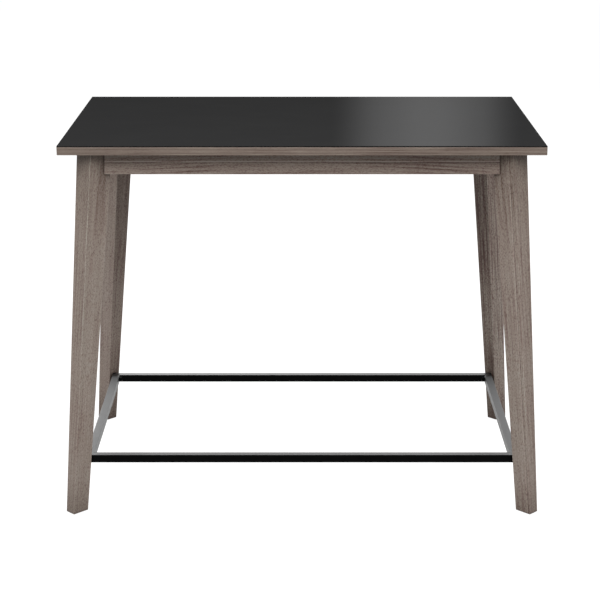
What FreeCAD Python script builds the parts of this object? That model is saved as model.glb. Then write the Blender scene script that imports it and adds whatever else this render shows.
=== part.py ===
import FreeCAD, Part
import os
from math import sqrt

from FreeCAD import Vector

# Bar-height pub table, in millimetres. +X runs along the table, -Y is its front, +Z is up.
# The origin is on the floor, under the middle of the top.

# Whole table
table_length = 1300.0
table_depth = 800.0
table_height = 1050.0

# Top: a glossy sheet over a core board, with a backing sheet and four edge bands
sheet_thickness = 3.0
sheet_edge_radius = 0.8
core_thickness = 21.0
backing_thickness = 1.0
band_thickness = 2.0
band_edge_radius = 0.6

# Legs: a rectangle turned 45 degrees, its narrow side facing out of the corner
foot_inset = 15.5
leg_top_inset_x = 91.4
leg_top_inset_y = 73.7
foot_narrow = 34.4
foot_wide = 50.0
leg_top_narrow = 59.3
leg_top_wide = 73.2
leg_arris_radius = 1.0

# Aprons: a shadow gap parts their ends from the legs' wide faces
apron_inset = 57.8
apron_height = 63.5
apron_thickness = 20.0
apron_arris_radius = 1.0
apron_leg_gap = 1.8

# Corner blocks and their screws into the aprons
block_height = 50.0
block_thickness = 35.0
block_screw_share = 0.55
block_screw_height_shares = (0.26, 0.74)
block_screw_radius = 2.2
block_screw_grip = 19.0
block_screw_bite = 14.0
block_screw_head_radius = 4.2
block_screw_head_height = 2.8

# Hanger bolts that pull each leg against its block
hanger_height_shares = (0.26, 0.74)
hanger_radius = 4.0
hanger_bite = 34.0
hanger_tail = 4.0
washer_radius = 9.0
washer_thickness = 1.6
nut_across_flats = 13.0
nut_thickness = 6.5

# Angle brackets between the aprons and the top
bracket_width = 20.0
bracket_flange = 26.0
bracket_thickness = 2.0
bracket_bend_radius = 1.5
bracket_hole_share = 0.6
long_bracket_shares = (-0.3, 0.0, 0.3)
short_bracket_shares = (-0.15, 0.15)
bracket_screw_radius = 1.75
bracket_screw_bite = 13.0
bracket_screw_head_radius = 3.4
bracket_screw_head_height = 2.0

# Foot ring: square tube, mitred, its corners let into the legs
tube_size = 22.5
tube_wall = 1.5
tube_edge_radius = 1.2
ring_top = 160.5
housing_depth = 5.6
housing_gap = 2.5
connector_arm = 45.0
saddle_side = 12.0
saddle_height = 14.0
ring_screw_radius = 3.0
ring_screw_bite = 14.0
ring_screw_head_radius = 5.2
ring_screw_head_height = 3.3
insert_radius = 5.0
insert_length = 13.0
insert_set_back = 0.5

# Glides under the feet
glide_radius = 11.0
glide_thickness = 3.0
glide_edge_radius = 0.8
glide_screw_radius = 1.5
glide_screw_bite = 16.0
glide_screw_head_radius = 3.2
glide_screw_head_height = 1.0
glide_screw_web = 1.5

# Fits
hole_clearance = 0.3
fit_clearance = 0.2
head_clearance = 0.5
overrun = 5.0
parallel_share = 0.999

# Levels and faces that several pieces share
underside = table_height - sheet_thickness - core_thickness - backing_thickness
band_top = table_height - sheet_thickness
leg_height = underside - glide_thickness
apron_bottom = underside - apron_height
block_bottom = underside - block_height
block_middle = underside - block_height / 2
ring_bottom = ring_top - tube_size
ring_middle = ring_top - tube_size / 2

foot_x = table_length / 2 - foot_inset
foot_y = table_depth / 2 - foot_inset
leg_top_x = table_length / 2 - leg_top_inset_x
leg_top_y = table_depth / 2 - leg_top_inset_y

# The side aprons lie about the leg's diagonal as the front and rear ones do
apron_face_y = table_depth / 2 - apron_inset
apron_face_x = apron_face_y + leg_top_x - leg_top_y
apron_back_y = apron_face_y - apron_thickness
apron_back_x = apron_face_x - apron_thickness

root_two = sqrt(2.0)
up = Vector(0, 0, 1)
along_x = Vector(1, 0, 0)
along_y = Vector(0, 1, 0)
outward = (along_x + along_y) / root_two
corners = {
    "front_left": (-1, -1),
    "front_right": (1, -1),
    "rear_left": (-1, 1),
    "rear_right": (1, 1),
}


def leg_section(z):
    """Centre x and y, narrow width and wide width of the +X +Y leg at height z."""
    rise = (z - glide_thickness) / leg_height
    return (
        foot_x + (leg_top_x - foot_x) * rise,
        foot_y + (leg_top_y - foot_y) * rise,
        foot_narrow + (leg_top_narrow - foot_narrow) * rise,
        foot_wide + (leg_top_wide - foot_wide) * rise,
    )


def leg_inner_sum(z):
    """x + y on the leg's narrow inner face at height z."""
    x, y, narrow, wide = leg_section(z)
    return x + y - wide / root_two


def leg_skew(z):
    """x - y along the leg's middle at height z."""
    x, y, narrow, wide = leg_section(z)
    return x - y


def leg_half_spread(z):
    """How far x - y runs from the leg's middle to either wide face at height z."""
    x, y, narrow, wide = leg_section(z)
    return narrow / root_two


def leg_inner_middle(z):
    """Middle of the leg's narrow inner face at height z."""
    total = leg_inner_sum(z)
    skew = leg_skew(z)
    return Vector((total + skew) / 2, (total - skew) / 2, z)


def outline(points, z):
    """Closed wire through plan points at height z."""
    corner_points = [Vector(x, y, z) for x, y in points]
    return Part.makePolygon(corner_points + corner_points[:1])


def prism(points, low, high):
    """Upright prism over plan points."""
    face = Part.Face(outline(points, low))
    return face.extrude(up * (high - low))


def tapered_prism(plan_at, low, high):
    """Flat-sided solid between the plan points at two heights, given by a function of height."""
    below = [Vector(x, y, low) for x, y in plan_at(low)]
    above = [Vector(x, y, high) for x, y in plan_at(high)]
    rims = [below, above]
    for place in range(len(below)):
        rims.append([below[place - 1], below[place], above[place], above[place - 1]])
    faces = [Part.Face(Part.makePolygon(rim + rim[:1])) for rim in rims]
    return Part.Solid(Part.Shell(faces)).removeSplitter()


def block_between(low, high):
    """Box from its lowest corner to its highest."""
    size = high - low
    return Part.makeBox(size.x, size.y, size.z, low)


def cylinder(radius, start, along, length):
    return Part.makeCylinder(radius, length, start, along)


def mirrored(shape, side_x, side_y):
    """The +X +Y corner's shape, carried to another corner of the table."""
    origin = Vector(0, 0, 0)
    if side_x < 0:
        shape = shape.mirror(origin, along_x)
    if side_y < 0:
        shape = shape.mirror(origin, along_y)
    return shape


def at_every_corner(shapes):
    """One group of the +X +Y corner's shapes at all four corners."""
    group = []
    for side_x, side_y in corners.values():
        for shape in shapes:
            group.append(mirrored(shape, side_x, side_y))
    return Part.makeCompound(group)


def edges_along(shape, axis):
    """Straight edges that run along a unit axis."""
    chosen = []
    for edge in shape.Edges:
        run = edge.Vertexes[-1].Point - edge.Vertexes[0].Point
        if abs(run.dot(axis)) > parallel_share * edge.Length:
            chosen.append(edge)
    return chosen


def screw(seat, along, radius, length, head_radius, head_height):
    """Screw with a flat-seated head: the shank runs along from the seat, the head behind it."""
    shank = cylinder(radius, seat, along, length)
    head = cylinder(head_radius, seat - along * head_height, along, head_height)
    return head.fuse(shank).removeSplitter()


# Hanger bolts, washers and nuts of one corner, level along the leg's diagonal
hanger_line = leg_inner_middle(block_middle) - outward * block_thickness
hanger_levels = [block_bottom + share * block_height for share in hanger_height_shares]
hanger_seats = [Vector(hanger_line.x, hanger_line.y, z) for z in hanger_levels]
block_back_sum = hanger_line.x + hanger_line.y


def hanger_bolt(seat):
    outside = hanger_tail + nut_thickness + washer_thickness
    length = outside + block_thickness + hanger_bite
    return cylinder(hanger_radius, seat - outward * outside, outward, length)


def hanger_hole(seat):
    start = seat - outward * overrun
    length = overrun + block_thickness + hanger_bite + hole_clearance
    return cylinder(hanger_radius + hole_clearance, start, outward, length)


def hanger_washer(seat):
    start = seat - outward * washer_thickness
    disc = cylinder(washer_radius, start, outward, washer_thickness)
    return disc.cut(cylinder(hanger_radius + hole_clearance, start, outward, washer_thickness))


half_root_three = sqrt(3.0) / 2
hexagon_shares = (
    (1.0, 0.0),
    (0.5, half_root_three),
    (-0.5, half_root_three),
    (-1.0, 0.0),
    (-0.5, -half_root_three),
    (0.5, -half_root_three),
    (1.0, 0.0),
)


def hanger_nut(seat):
    """Hexagon nut on the washer, two of its points level with the bolt."""
    start = seat - outward * (washer_thickness + nut_thickness)
    point_radius = nut_across_flats / sqrt(3.0)
    level = outward.cross(up)
    points = [start + (level * a + up * b) * point_radius for a, b in hexagon_shares]
    body = Part.Face(Part.makePolygon(points)).extrude(outward * nut_thickness)
    return body.cut(cylinder(hanger_radius + hole_clearance, start, outward, nut_thickness))


# Block screws of one corner: two run out to the long apron, two to the side apron
block_contact = block_thickness * root_two
block_screw_levels = [block_bottom + share * block_height for share in block_screw_height_shares]
long_screw_x = block_back_sum - apron_back_y + block_contact * block_screw_share
side_screw_y = block_back_sum - apron_back_x + block_contact * block_screw_share
block_screw_places = []
for level in block_screw_levels:
    long_seat = Vector(long_screw_x, apron_back_y - block_screw_grip, level)
    side_seat = Vector(apron_back_x - block_screw_grip, side_screw_y, level)
    block_screw_places.append((long_seat, along_y))
    block_screw_places.append((side_seat, along_x))


def block_screw(seat, along):
    return screw(
        seat, along, block_screw_radius, block_screw_grip + block_screw_bite,
        block_screw_head_radius, block_screw_head_height,
    )


def block_screw_hole(seat, along):
    """Clearance for the shank, and the pocket from the block's back to the head's seat."""
    length = block_screw_grip + block_screw_bite + hole_clearance
    shank = cylinder(block_screw_radius + hole_clearance, seat, along, length)
    pocket = cylinder(
        block_screw_head_radius + head_clearance, seat - along * block_thickness, along,
        block_thickness,
    )
    return shank.fuse(pocket)


def corner_block():
    """Hardwood block between the two aprons, its outer face leaning with the leg."""
    def plan_at(z):
        total = leg_inner_sum(z)
        return (
            (block_back_sum - apron_back_y, apron_back_y),
            (total - apron_back_y, apron_back_y),
            (apron_back_x, total - apron_back_x),
            (apron_back_x, block_back_sum - apron_back_x),
        )

    block = tapered_prism(plan_at, block_bottom, underside)
    for seat in hanger_seats:
        block = block.cut(hanger_hole(seat))
    for seat, along in block_screw_places:
        block = block.cut(block_screw_hole(seat, along))
    return block


# Foot ring: its outer corner stands in the middle of the leg's inner face
ring_corner = leg_inner_middle(ring_middle) + outward * housing_depth
ring_inner_corner = ring_corner - outward * (tube_size * root_two)
saddle_seat = ring_inner_corner - outward * (saddle_side / root_two)
ring_screw_length = (ring_corner - saddle_seat).Length + ring_screw_bite
ring_screw_hole = cylinder(
    ring_screw_radius + hole_clearance, saddle_seat - outward * overrun, outward,
    overrun + ring_screw_length + hole_clearance,
)
insert_start = ring_corner + outward * insert_set_back


def leg():
    """Splayed, tapered leg of the +X +Y corner, with its holes and the ring's housing."""
    def plan_at(z):
        x, y, narrow, wide = leg_section(z)
        far = (wide + narrow) / (2 * root_two)
        near = (wide - narrow) / (2 * root_two)
        return (x + far, y + near), (x + near, y + far), (x - far, y - near), (x - near, y - far)

    shape = tapered_prism(plan_at, glide_thickness, underside)
    long_edges = [edge for edge in shape.Edges if edge.BoundBox.ZLength > leg_height / 2]
    shape = shape.makeFillet(leg_arris_radius, long_edges)
    housing = block_between(
        Vector(0, 0, ring_bottom - fit_clearance),
        Vector(ring_corner.x, ring_corner.y, ring_top + housing_gap),
    )
    shape = shape.cut(housing)
    for seat in hanger_seats:
        shape = shape.cut(hanger_hole(seat))
    insert_hole = cylinder(
        insert_radius + hole_clearance, ring_corner - outward * overrun, outward,
        overrun + insert_set_back + insert_length + hole_clearance,
    )
    shape = shape.cut(insert_hole).cut(ring_screw_hole)
    glide_hole = cylinder(
        glide_screw_radius + hole_clearance, Vector(foot_x, foot_y, 0), up,
        glide_thickness + glide_screw_bite + hole_clearance,
    )
    return shape.cut(glide_hole)


def threaded_insert():
    sleeve = cylinder(insert_radius, insert_start, outward, insert_length)
    return sleeve.cut(ring_screw_hole)


def ring_screw():
    return screw(
        saddle_seat, outward, ring_screw_radius, ring_screw_length,
        ring_screw_head_radius, ring_screw_head_height,
    )


def corner_saddle():
    """Three-cornered seat that fills the ring's inner corner under the screw head."""
    x = ring_inner_corner.x
    y = ring_inner_corner.y
    points = ((x, y), (x - saddle_side, y), (x, y - saddle_side))
    body = prism(points, ring_middle - saddle_height / 2, ring_middle + saddle_height / 2)
    return body.cut(ring_screw_hole)


def ring_connector():
    """L-shaped core that joins two mitred tube ends."""
    skin = tube_wall + fit_clearance
    width = tube_size - 2 * skin
    x = ring_corner.x - skin
    y = ring_corner.y - skin
    points = (
        (x, y),
        (x - connector_arm, y),
        (x - connector_arm, y - width),
        (x - width, y - width),
        (x - width, y - connector_arm),
        (x, y - connector_arm),
    )
    body = prism(points, ring_bottom + skin, ring_top - skin)
    return body.cut(ring_screw_hole)


def square_tube(low, high, axis):
    """Square tube between two corners, its long outer edges rounded."""
    outer = block_between(low, high)
    outer = outer.makeFillet(tube_edge_radius, edges_along(outer, axis))
    wall = Vector(tube_wall, tube_wall, tube_wall)
    wall = wall - axis * (tube_wall + overrun)
    bore = block_between(low + wall, high - wall)
    return outer.cut(bore)


def foot_rail(axis):
    """Rear rail (along X) or right rail (along Y), mitred at both ends."""
    x = ring_corner.x
    y = ring_corner.y
    if axis == along_x:
        tube = square_tube(Vector(-x, y - tube_size, ring_bottom), Vector(x, y, ring_top), axis)
        mitre = ((-x, y), (x, y), (x - tube_size, y - tube_size), (tube_size - x, y - tube_size))
    else:
        tube = square_tube(Vector(x - tube_size, -y, ring_bottom), Vector(x, y, ring_top), axis)
        mitre = ((x, -y), (x, y), (x - tube_size, y - tube_size), (x - tube_size, tube_size - y))
    rail = tube.common(prism(mitre, ring_bottom, ring_top))
    for side_x, side_y in corners.values():
        rail = rail.cut(mirrored(ring_screw_hole, side_x, side_y))
    return rail


def apron_long():
    """Rear apron: its ends follow the legs' wide faces, a shadow gap away."""
    def plan_at(z):
        reach = leg_skew(z) - leg_half_spread(z) - apron_leg_gap * root_two
        return (
            (-apron_face_y - reach, apron_face_y),
            (apron_face_y + reach, apron_face_y),
            (apron_back_y + reach, apron_back_y),
            (-apron_back_y - reach, apron_back_y),
        )

    return tapered_prism(plan_at, apron_bottom, underside)


def apron_side():
    """Right apron, built as the long one."""
    def plan_at(z):
        reach = -leg_skew(z) - leg_half_spread(z) - apron_leg_gap * root_two
        return (
            (apron_face_x, -apron_face_x - reach),
            (apron_face_x, apron_face_x + reach),
            (apron_back_x, apron_back_x + reach),
            (apron_back_x, -apron_back_x - reach),
        )

    return tapered_prism(plan_at, apron_bottom, underside)


# Angle brackets: one flange on an apron's back, one under the top
def bracket_places():
    """Corner point of each bracket and the level direction that points out of its apron."""
    places = []
    for side in (-1, 1):
        for share in long_bracket_shares:
            place = Vector(share * table_length, side * apron_back_y, underside)
            places.append((place, Vector(0, side, 0)))
        for share in short_bracket_shares:
            place = Vector(side * apron_back_x, share * table_depth, underside)
            places.append((place, Vector(side, 0, 0)))
    return places


bracket_hole_reach = bracket_flange * bracket_hole_share


def bracket(corner, out):
    """Folded steel angle, two holes, its bend rounded inside."""
    across = out.cross(up)
    start = corner - across * (bracket_width / 2)
    steps = (
        (0, 0), (bracket_flange, 0), (bracket_flange, bracket_thickness),
        (bracket_thickness, bracket_thickness), (bracket_thickness, bracket_flange),
        (0, bracket_flange), (0, 0),
    )
    profile = Part.makePolygon([start - out * a - up * b for a, b in steps])
    angle = Part.Face(profile).extrude(across * bracket_width)
    bend = corner - (out + up) * bracket_thickness
    inner_edges = [edge for edge in edges_along(angle, across)
                   if edge.distToShape(Part.Vertex(bend))[0] < bracket_thickness / 2]
    angle = angle.makeFillet(bracket_bend_radius, inner_edges)
    for seat, along in bracket_screw_seats(corner, out):
        hole = cylinder(bracket_screw_radius + hole_clearance, seat - along * overrun, along,
                        overrun + bracket_thickness + overrun)
        angle = angle.cut(hole)
    return angle


def bracket_screw_seats(corner, out):
    """Head seats of a bracket's apron screw and top screw, each with its direction."""
    apron_seat = corner - out * bracket_thickness - up * bracket_hole_reach
    top_seat = corner - up * bracket_thickness - out * bracket_hole_reach
    return (apron_seat, out), (top_seat, up)


def bracket_screw(seat, along):
    return screw(
        seat, along, bracket_screw_radius, bracket_thickness + bracket_screw_bite,
        bracket_screw_head_radius, bracket_screw_head_height,
    )


def bracket_screw_hole(seat, along):
    return cylinder(
        bracket_screw_radius + hole_clearance, seat, along,
        bracket_thickness + bracket_screw_bite + hole_clearance,
    )


brackets = bracket_places()
apron_screw_seats = [bracket_screw_seats(corner, out)[0] for corner, out in brackets]
top_screw_seats = [bracket_screw_seats(corner, out)[1] for corner, out in brackets]


def drilled(shape, holes):
    for hole in holes:
        if shape.BoundBox.intersect(hole.BoundBox):
            shape = shape.cut(hole)
    return shape


def apron(shape, axis, side_x, side_y):
    """An apron with rounded lower arrises and the holes of its screws."""
    lower = [edge for edge in edges_along(shape, axis) if edge.BoundBox.ZMax < block_bottom]
    shape = shape.makeFillet(apron_arris_radius, lower)
    shape = mirrored(shape, side_x, side_y)
    holes = [bracket_screw_hole(seat, along) for seat, along in apron_screw_seats]
    for corner_x, corner_y in corners.values():
        for seat, along in block_screw_places:
            holes.append(mirrored(block_screw_hole(seat, along), corner_x, corner_y))
    return drilled(shape, holes)


def board(low_z, high_z):
    """Layer of the top inside the edge bands."""
    half_x = table_length / 2 - band_thickness
    half_y = table_depth / 2 - band_thickness
    return block_between(Vector(-half_x, -half_y, low_z), Vector(half_x, half_y, high_z))


def top_sheet():
    half_x = table_length / 2
    half_y = table_depth / 2
    sheet = block_between(
        Vector(-half_x, -half_y, band_top), Vector(half_x, half_y, table_height)
    )
    upper = [edge for edge in sheet.Edges if edge.BoundBox.ZMin > band_top]
    return sheet.makeFillet(sheet_edge_radius, upper)


def edge_band(low, high, axis):
    """Edge band with its outer lower arris eased."""
    band = block_between(low, high)
    lower = [edge for edge in edges_along(band, axis) if edge.BoundBox.ZMax < band_top]
    outermost = max(lower, key=lambda edge: edge.CenterOfMass.Length)
    return band.makeFillet(band_edge_radius, [outermost])


def glide():
    """Nylon disc under the foot, its screw head sunk from below."""
    start = Vector(foot_x, foot_y, 0)
    disc = cylinder(glide_radius, start, up, glide_thickness)
    rim = [edge for edge in disc.Edges if edge.BoundBox.ZMax < glide_thickness / 2]
    disc = disc.makeFillet(glide_edge_radius, rim)
    seat_height = glide_thickness - glide_screw_web
    disc = disc.cut(cylinder(glide_screw_head_radius + head_clearance, start, up, seat_height))
    return disc.cut(cylinder(glide_screw_radius + hole_clearance, start, up, glide_thickness))


def glide_screw():
    seat = Vector(foot_x, foot_y, glide_thickness - glide_screw_web)
    return screw(
        seat, up, glide_screw_radius, glide_screw_web + glide_screw_bite,
        glide_screw_head_radius, glide_screw_head_height,
    )


def build():
    """Every node's shape, by name."""
    nodes = {}
    top_holes = [bracket_screw_hole(seat, along) for seat, along in top_screw_seats]
    nodes["top_sheet"] = top_sheet()
    nodes["tabletop_core"] = drilled(board(underside + backing_thickness, band_top), top_holes)
    nodes["backing_sheet"] = drilled(board(underside, underside + backing_thickness), top_holes)

    half_x = table_length / 2
    half_y = table_depth / 2
    inner_y = half_y - band_thickness
    long_band = edge_band(
        Vector(-half_x, inner_y, underside), Vector(half_x, half_y, band_top), along_x
    )
    side_band = edge_band(
        Vector(half_x - band_thickness, -inner_y, underside),
        Vector(half_x, inner_y, band_top), along_y
    )
    long_apron = apron_long()
    side_apron = apron_side()
    long_rail = foot_rail(along_x)
    side_rail = foot_rail(along_y)
    for name, side in (("front", -1), ("rear", 1)):
        nodes[name + "_edge_band"] = mirrored(long_band, 1, side)
        nodes[name + "_apron"] = apron(long_apron, along_x, 1, side)
        nodes[name + "_foot_rail"] = mirrored(long_rail, 1, side)
    for name, side in (("left", -1), ("right", 1)):
        nodes[name + "_edge_band"] = mirrored(side_band, side, 1)
        nodes[name + "_apron"] = apron(side_apron, along_y, side, 1)
        nodes[name + "_foot_rail"] = mirrored(side_rail, side, 1)

    corner_pieces = {
        "leg": leg(),
        "corner_block": corner_block(),
        "ring_connector": ring_connector(),
        "glide": glide(),
    }
    for corner, (side_x, side_y) in corners.items():
        for name, shape in corner_pieces.items():
            nodes[corner + "_" + name] = mirrored(shape, side_x, side_y)

    nodes["hanger_bolts"] = at_every_corner([hanger_bolt(seat) for seat in hanger_seats])
    nodes["hanger_washers"] = at_every_corner([hanger_washer(seat) for seat in hanger_seats])
    nodes["hanger_nuts"] = at_every_corner([hanger_nut(seat) for seat in hanger_seats])
    nodes["block_screws"] = at_every_corner(
        [block_screw(seat, along) for seat, along in block_screw_places]
    )
    nodes["apron_brackets"] = Part.makeCompound([bracket(place, out) for place, out in brackets])
    nodes["bracket_apron_screws"] = Part.makeCompound(
        [bracket_screw(seat, along) for seat, along in apron_screw_seats]
    )
    nodes["bracket_top_screws"] = Part.makeCompound(
        [bracket_screw(seat, along) for seat, along in top_screw_seats]
    )
    nodes["corner_saddles"] = at_every_corner([corner_saddle()])
    nodes["ring_screws"] = at_every_corner([ring_screw()])
    nodes["threaded_inserts"] = at_every_corner([threaded_insert()])
    nodes["glide_screws"] = at_every_corner([glide_screw()])
    return nodes


os.makedirs("parts", exist_ok=True)
for node, shape in build().items():
    shape.exportStep(os.path.join("parts", node + ".step"))
    box = shape.BoundBox
    print(
        f"{node}: {len(shape.Solids)} solids, valid {shape.isValid()}, "
        f"{box.XLength:.1f} x {box.YLength:.1f} x {box.ZLength:.1f}"
    )
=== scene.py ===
# %% [markdown]
# # A pub table, dressed in Blender
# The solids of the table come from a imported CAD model, in metres, with the floor at zero height.
# Their shapes are right already, so this lesson gives them finishes, swaps the plain fasteners
# for detailed ones, and sets up a small photo studio. Every pattern is worked out by nodes.

from math import pi

import bmesh
import bpy
import numpy as np
from mathutils import Matrix, Vector


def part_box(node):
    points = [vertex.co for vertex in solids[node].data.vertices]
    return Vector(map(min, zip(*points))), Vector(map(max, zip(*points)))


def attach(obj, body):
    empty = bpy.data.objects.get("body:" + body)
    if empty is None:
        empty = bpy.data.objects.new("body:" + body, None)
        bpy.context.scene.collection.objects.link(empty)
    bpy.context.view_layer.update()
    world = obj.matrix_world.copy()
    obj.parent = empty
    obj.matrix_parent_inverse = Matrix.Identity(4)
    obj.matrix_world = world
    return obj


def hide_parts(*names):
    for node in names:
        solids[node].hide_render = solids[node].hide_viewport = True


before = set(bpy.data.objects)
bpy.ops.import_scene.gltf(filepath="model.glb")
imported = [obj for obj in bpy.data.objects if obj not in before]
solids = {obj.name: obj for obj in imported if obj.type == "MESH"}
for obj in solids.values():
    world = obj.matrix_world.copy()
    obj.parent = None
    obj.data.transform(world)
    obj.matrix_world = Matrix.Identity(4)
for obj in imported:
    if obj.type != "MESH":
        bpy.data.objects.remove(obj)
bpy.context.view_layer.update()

# %% [markdown]
# ## The camera
# A photograph fixes where its camera stood. Long straight edges of a table of known size give
# the focal length, the height and the downward tilt, so they are set here as plain values.
# The picture is square, and its optical centre lies two pixels right of the middle.

# %% Camera
picture_width = 600
focal_pixels = 1694.3
centre_shift_pixels = 2.0
camera_distance = 4.817
camera_height = 1.909
camera_tilt = 0.28267

camera_data = bpy.data.cameras.new("studio_camera")
camera_data.sensor_fit = "HORIZONTAL"
camera_data.lens = camera_data.sensor_width * focal_pixels / picture_width
camera_data.shift_x = -centre_shift_pixels / picture_width
camera = bpy.data.objects.new("studio_camera", camera_data)
camera.location = (0.0, -camera_distance, camera_height)
camera.rotation_euler = (pi / 2 - camera_tilt, 0.0, 0.0)
bpy.context.scene.collection.objects.link(camera)
bpy.context.scene.camera = camera
print("lens", round(camera_data.lens, 2), "mm")

# %% [markdown]
# ## Small helpers for node trees
# A finish is a tree of nodes. Wiring each node by hand makes long code, so the helpers here do it:
# they open a material, add a node, and fill its sockets. A value that is a socket is linked;
# anything else is set on the socket. The nodes used most, such as sums, smooth steps, noise and
# colour ramps, get a helper each.


# %% Node helpers
def open_finish(name):
    """A new node material: returns it with its tree and its Principled shader."""
    finish = bpy.data.materials.new(name)
    finish.use_nodes = True
    tree = finish.node_tree
    tree.nodes.clear()
    shader = tree.nodes.new("ShaderNodeBsdfPrincipled")
    output = tree.nodes.new("ShaderNodeOutputMaterial")
    tree.links.new(shader.outputs["BSDF"], output.inputs["Surface"])
    return finish, tree, shader


def fill(tree, node, inputs):
    """Give each named socket of a node its value, or link it where the value is a socket."""
    for key, value in inputs.items():
        if isinstance(value, bpy.types.NodeSocket):
            tree.links.new(value, node.inputs[key])
        else:
            node.inputs[key].default_value = value
    return node


def add(tree, kind, inputs=None, **settings):
    """Add a shader node of this kind with its settings and inputs."""
    node = tree.nodes.new("ShaderNode" + kind)
    for name, value in settings.items():
        setattr(node, name, value)
    return fill(tree, node, inputs or {})


def calc(tree, operation, *values):
    """One sum on numbers: returns the result's socket."""
    return add(tree, "Math", dict(enumerate(values)), operation=operation).outputs[0]


def vector(tree, operation, *values):
    """One sum on places or colours: returns the result's socket."""
    return add(tree, "VectorMath", dict(enumerate(values)), operation=operation).outputs[0]


def spread(tree, value, low, high, to_low=0.0, to_high=1.0):
    """A smooth step: value from low to high becomes to_low to to_high, flat outside."""
    inputs = {"Value": value, "From Min": low, "From Max": high,
              "To Min": to_low, "To Max": to_high}
    return add(tree, "MapRange", inputs, interpolation_type="SMOOTHSTEP").outputs["Result"]


def noise(tree, place, stretch, detail=2.0, roughness=0.5, output="Fac"):
    """Noise from 0 to 1 on a place scaled per axis: the stretch is in patches per metre."""
    inputs = {"Vector": vector(tree, "MULTIPLY", place, stretch), "Scale": 1.0,
              "Detail": detail, "Roughness": roughness}
    return add(tree, "TexNoise", inputs).outputs[output]


def ramp(tree, value, stops):
    """A colour ramp through (place, colour) stops."""
    node = add(tree, "ValToRGB", {"Fac": value})
    while len(node.color_ramp.elements) < len(stops):
        node.color_ramp.elements.new(1.0)
    for element, (place, colour) in zip(node.color_ramp.elements, stops):
        element.position = place
        element.color = (*colour, 1.0)
    return node.outputs["Color"]


def bump(tree, shader, height, strength, depth):
    """Raise the shader's surface by a height from 0 to 1, depth metres deep."""
    inputs = {"Strength": strength, "Distance": depth, "Height": height}
    tree.links.new(add(tree, "Bump", inputs).outputs["Normal"], shader.inputs["Normal"])


def object_place(tree):
    """The place in object coordinates, which are the table's own metres."""
    return add(tree, "TexCoord").outputs["Object"]


def parts_of(tree, place):
    """The X, Y and Z of a place, as sockets."""
    return add(tree, "SeparateXYZ", {0: place}).outputs


def dress(name, finish):
    """Put one finish on a CAD solid."""
    slots = solids[name].data.materials
    slots.clear()
    slots.append(finish)


print("node helpers ready")

# %% [markdown]
# ## Boards and their grain
# Wood grain follows the tree, so each board needs its own frame: Z along the grain, X and Y
# across it. The frame is measured on the solid: the middles of its two ends give the grain's
# direction, and the ends' widths tell where the arrises (the long edges) run, even on a
# tapered leg. A Mapping node then carries object coordinates into that frame.

# %% Measure the boards
leg_end_depth = 0.0005
mitre_depth = 0.03


def points_of(name):
    """All corners of a solid, as rows of x, y, z."""
    vertices = solids[name].data.vertices
    points = np.empty(len(vertices) * 3)
    vertices.foreach_get("co", points)
    return points.reshape(-1, 3)


def middle(points):
    """Centre of the box round some points."""
    return Vector((points.min(axis=0) + points.max(axis=0)) / 2)


def board_frame(name, axis, face, end_depth):
    """Frame of a board whose grain runs along a world axis (0, 1, 2) or leans from it.

    The ends are the corners within the end depth of the lowest and highest place on that axis,
    so a mitred or slanted end counts whole. The grain joins the ends' middles, X is the face
    direction made square to it, and the half widths are the ends' reach along X and Y.
    """
    points = points_of(name)
    places = points[:, axis]
    ends = [points[places < places.min() + end_depth], points[places > places.max() - end_depth]]
    foot, head = middle(ends[0]), middle(ends[1])
    along = (head - foot).normalized()
    across = along.cross(Vector(face)).normalized()
    out = across.cross(along)
    halves = [[abs((end - np.array(centre)) @ np.array(way)).max() for way in (out, across)]
              for end, centre in zip(ends, (foot, head))]
    turn = Matrix((out, across, along)).transposed().to_euler()
    return {"foot": foot, "turn": turn, "length": (head - foot).length, "halves": halves}


sides = ("front", "rear", "left", "right")
diagonal = {"left": -1, "right": 1, "front": -1, "rear": 1}
corner_names = [f"{row}_{side}" for row in ("front", "rear") for side in ("left", "right")]
boards = {}
for corner in corner_names:
    row, side = corner.split("_")
    boards[f"{corner}_leg"] = board_frame(f"{corner}_leg", 2, (diagonal[side], diagonal[row], 0),
                                          leg_end_depth)
for side in sides:
    axis = 0 if side in ("front", "rear") else 1
    for name in (f"{side}_apron", f"{side}_edge_band"):
        boards[name] = board_frame(name, axis, (0, 0, 1), mitre_depth)
for name in ("front_left_leg", "front_apron", "front_edge_band"):
    halves = [[round(half * 1000, 1) for half in end] for end in boards[name]["halves"]]
    print(name, "length", round(boards[name]["length"], 3), "half widths in mm", halves)

# %% [markdown]
# ## Growth rings
# The legs, aprons and edge bands are open-grained wood under a thin grey-brown stain. Image
# textures would be quick, but they repeat and have seams. Here a tree is modelled instead:
# growth rings are the distance from a pith line, so a face that cuts them at a slant shows
# arches, and an end shows rings. On an apron the grain is also bowed, as in a bent trunk.

# %% Growth rings
wander_reach = 0.03
wander_stretch = (5.0, 5.0, 0.9)
late_wood_start = 0.30
late_wood_peak = 0.90


def grain_place(tree, board):
    """The place in the board's own frame: moved by its foot and turned back by its turn."""
    inputs = {"Vector": object_place(tree), "Location": board["foot"], "Rotation": board["turn"]}
    return add(tree, "Mapping", inputs, vector_type="TEXTURE").outputs[0]


def bowed(tree, place, length, bow):
    """The place moved along X by the bow times the square of the share of the way from mid-length."""
    from_middle = calc(tree, "MULTIPLY_ADD", parts_of(tree, place)["Z"], 2.0 / length, -1.0)
    drop = calc(tree, "MULTIPLY", calc(tree, "MULTIPLY", from_middle, from_middle), bow)
    return vector(tree, "ADD", place, add(tree, "CombineXYZ", {"X": drop}).outputs[0])


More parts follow.
